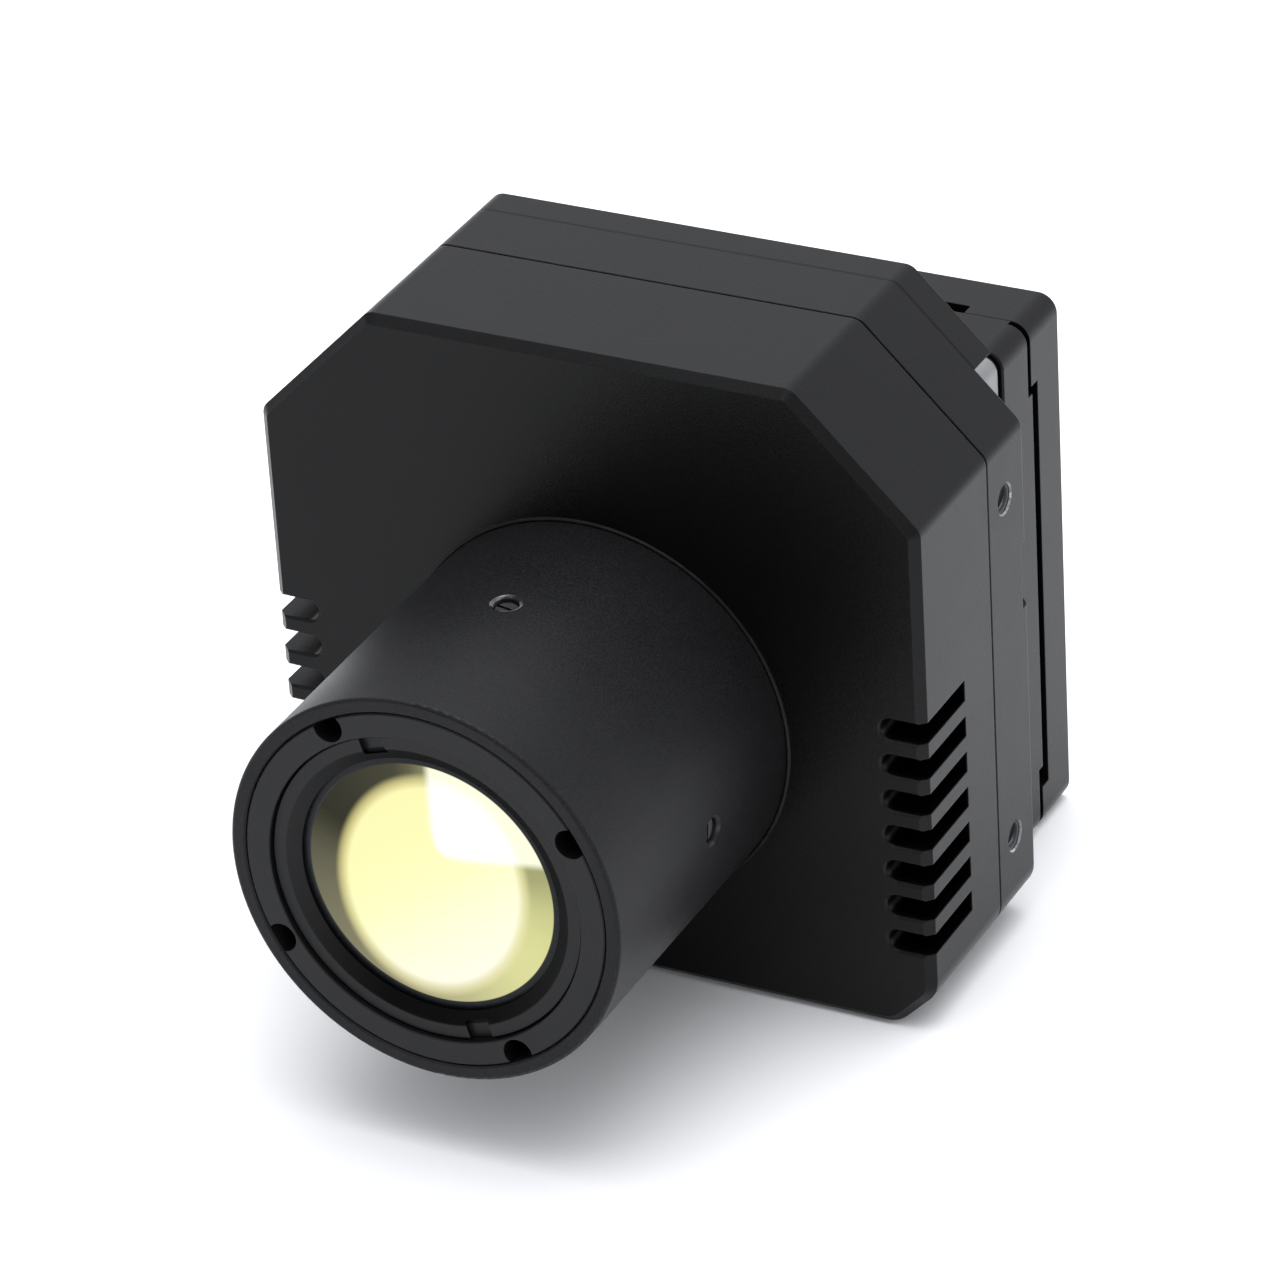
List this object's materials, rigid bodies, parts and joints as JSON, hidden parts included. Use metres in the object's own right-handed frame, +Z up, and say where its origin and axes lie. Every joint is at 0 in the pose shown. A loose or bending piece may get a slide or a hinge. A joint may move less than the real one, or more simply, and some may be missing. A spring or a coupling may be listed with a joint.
{
  "type": "cooled camera with focusing lens",
  "caption": "Compact cooled camera with an octagonal black housing, milled cooling grooves, a square rear housing and a focusing lens barrel with a yellow coated front element.",
  "frame": {"origin": "where the optical axis crosses the front face of the front cover", "axes": "+Z up, +Y to the rear, the scene is towards -Y, +X to the right when seen from the front"},
  "size_m": [0.0556, 0.0643, 0.054],
  "materials": {
    "black_anodised": "bead-blasted black anodised aluminium",
    "bare_aluminium": "machined, bare",
    "coated_glass": "yellow anti-reflection coated infrared glass",
    "clear_window": "coated window",
    "black_rubber": "matt",
    "black_oxide_steel": "black oxide",
    "steel": "plain",
    "magnet": "nickel plated",
    "ceramic": "alumina",
    "silicon": "polished",
    "gold_pin": "gold flash",
    "pellet": "semiconductor",
    "thermal_silicone": "soft silicone",
    "green_board": "solder mask over glass epoxy",
    "black_plastic": "moulded",
    "cream_plastic": "moulded",
    "polyimide": "polyimide film",
    "capacitor": "ceramic"
  },
  "bodies": {
    "housing": {"aux_contacts": "gold_pin", "aux_socket": "cream_plastic", "back_cover": "black_anodised", "back_cover_screws": "black_oxide_steel", "barrel_flange_screws": "black_oxide_steel", "barrel_o_ring": "black_rubber", "board_capacitors": "capacitor", "board_spacers": "steel", "cooler_cold_plate": "ceramic", "cooler_hot_plate": "ceramic", "cooler_pellets": "pellet", "detector_package": "ceramic", "detector_pins": "gold_pin", "detector_window": "clear_window", "frame_gasket": "black_rubber", "front_cover": "black_anodised", "heat_sink_frame": "bare_aluminium", "heat_spreader": "bare_aluminium", "housing_gasket": "black_rubber", "housing_screws": "black_oxide_steel", "interface_board": "green_board", "lens_barrel": "black_anodised", "memory_chips": "black_plastic", "mezzanine_plug": "black_plastic", "mezzanine_socket": "black_plastic", "middle_housing": "black_anodised", "power_inductors": "black_plastic", "processor_board": "green_board", "processor_chip": "black_plastic", "processor_flex_connector": "cream_plastic", "rear_housing": "black_anodised", "sensor_board": "green_board", "sensor_board_connector": "cream_plastic", "sensor_board_screws": "steel", "sensor_chip": "silicon", "sensor_flex_cable": "polyimide", "shutter_motor": "steel", "shutter_plate": "black_anodised", "shutter_plate_screws": "steel", "shutter_stop_pins": "steel", "thermal_pad": "thermal_silicone", "usb_contact_tongue": "black_plastic", "usb_socket_shell": "steel"},
    "focus_carrier": {"focus_friction_ring": "black_rubber"},
    "focus_cell": {"lens_cell": "black_anodised", "front_lens": "coated_glass", "front_retaining_ring": "black_anodised", "front_lens_seal": "black_rubber", "rear_lens": "coated_glass", "rear_retaining_ring": "black_anodised"},
    "shutter": {"shutter_blade": "black_oxide_steel", "shutter_shaft": "steel", "shutter_magnet": "magnet"},
    "lock_top": {"focus_lock_screw_top": "black_oxide_steel"},
    "lock_right": {"focus_lock_screw_right": "black_oxide_steel"},
    "lock_bottom": {"focus_lock_screw_bottom": "black_oxide_steel"},
    "lock_left": {"focus_lock_screw_left": "black_oxide_steel"}
  },
  "joints": [
    {"name": "focus_travel", "type": "slide", "parent": "housing", "child": "focus_carrier", "axis": [0, -1, 0], "range_m": [-0.00025, 0.001]},
    {"name": "focus_turn", "type": "hinge", "parent": "focus_carrier", "child": "focus_cell", "pos_m": [0, 0, 0], "axis": [0, -1, 0], "range_deg": [-180, 720]},
    {"name": "shutter_swing", "type": "hinge", "parent": "housing", "child": "shutter", "pos_m": [-0.017, 0, 0.02], "axis": [0, 1, 0], "range_deg": [0, 36]},
    {"name": "lock_top_travel", "type": "slide", "parent": "housing", "child": "lock_top", "axis": [0, 0, 1], "range_m": [0, 0.0006]},
    {"name": "lock_right_travel", "type": "slide", "parent": "housing", "child": "lock_right", "axis": [1, 0, 0], "range_m": [0, 0.0006]},
    {"name": "lock_bottom_travel", "type": "slide", "parent": "housing", "child": "lock_bottom", "axis": [0, 0, -1], "range_m": [0, 0.0006]},
    {"name": "lock_left_travel", "type": "slide", "parent": "housing", "child": "lock_left", "axis": [-1, 0, 0], "range_m": [0, 0.0006]}
  ],
  "couplings": [
    {"joint": "focus_travel", "follows": "focus_turn", "m_per_rad": 0.000079577}
  ]
}
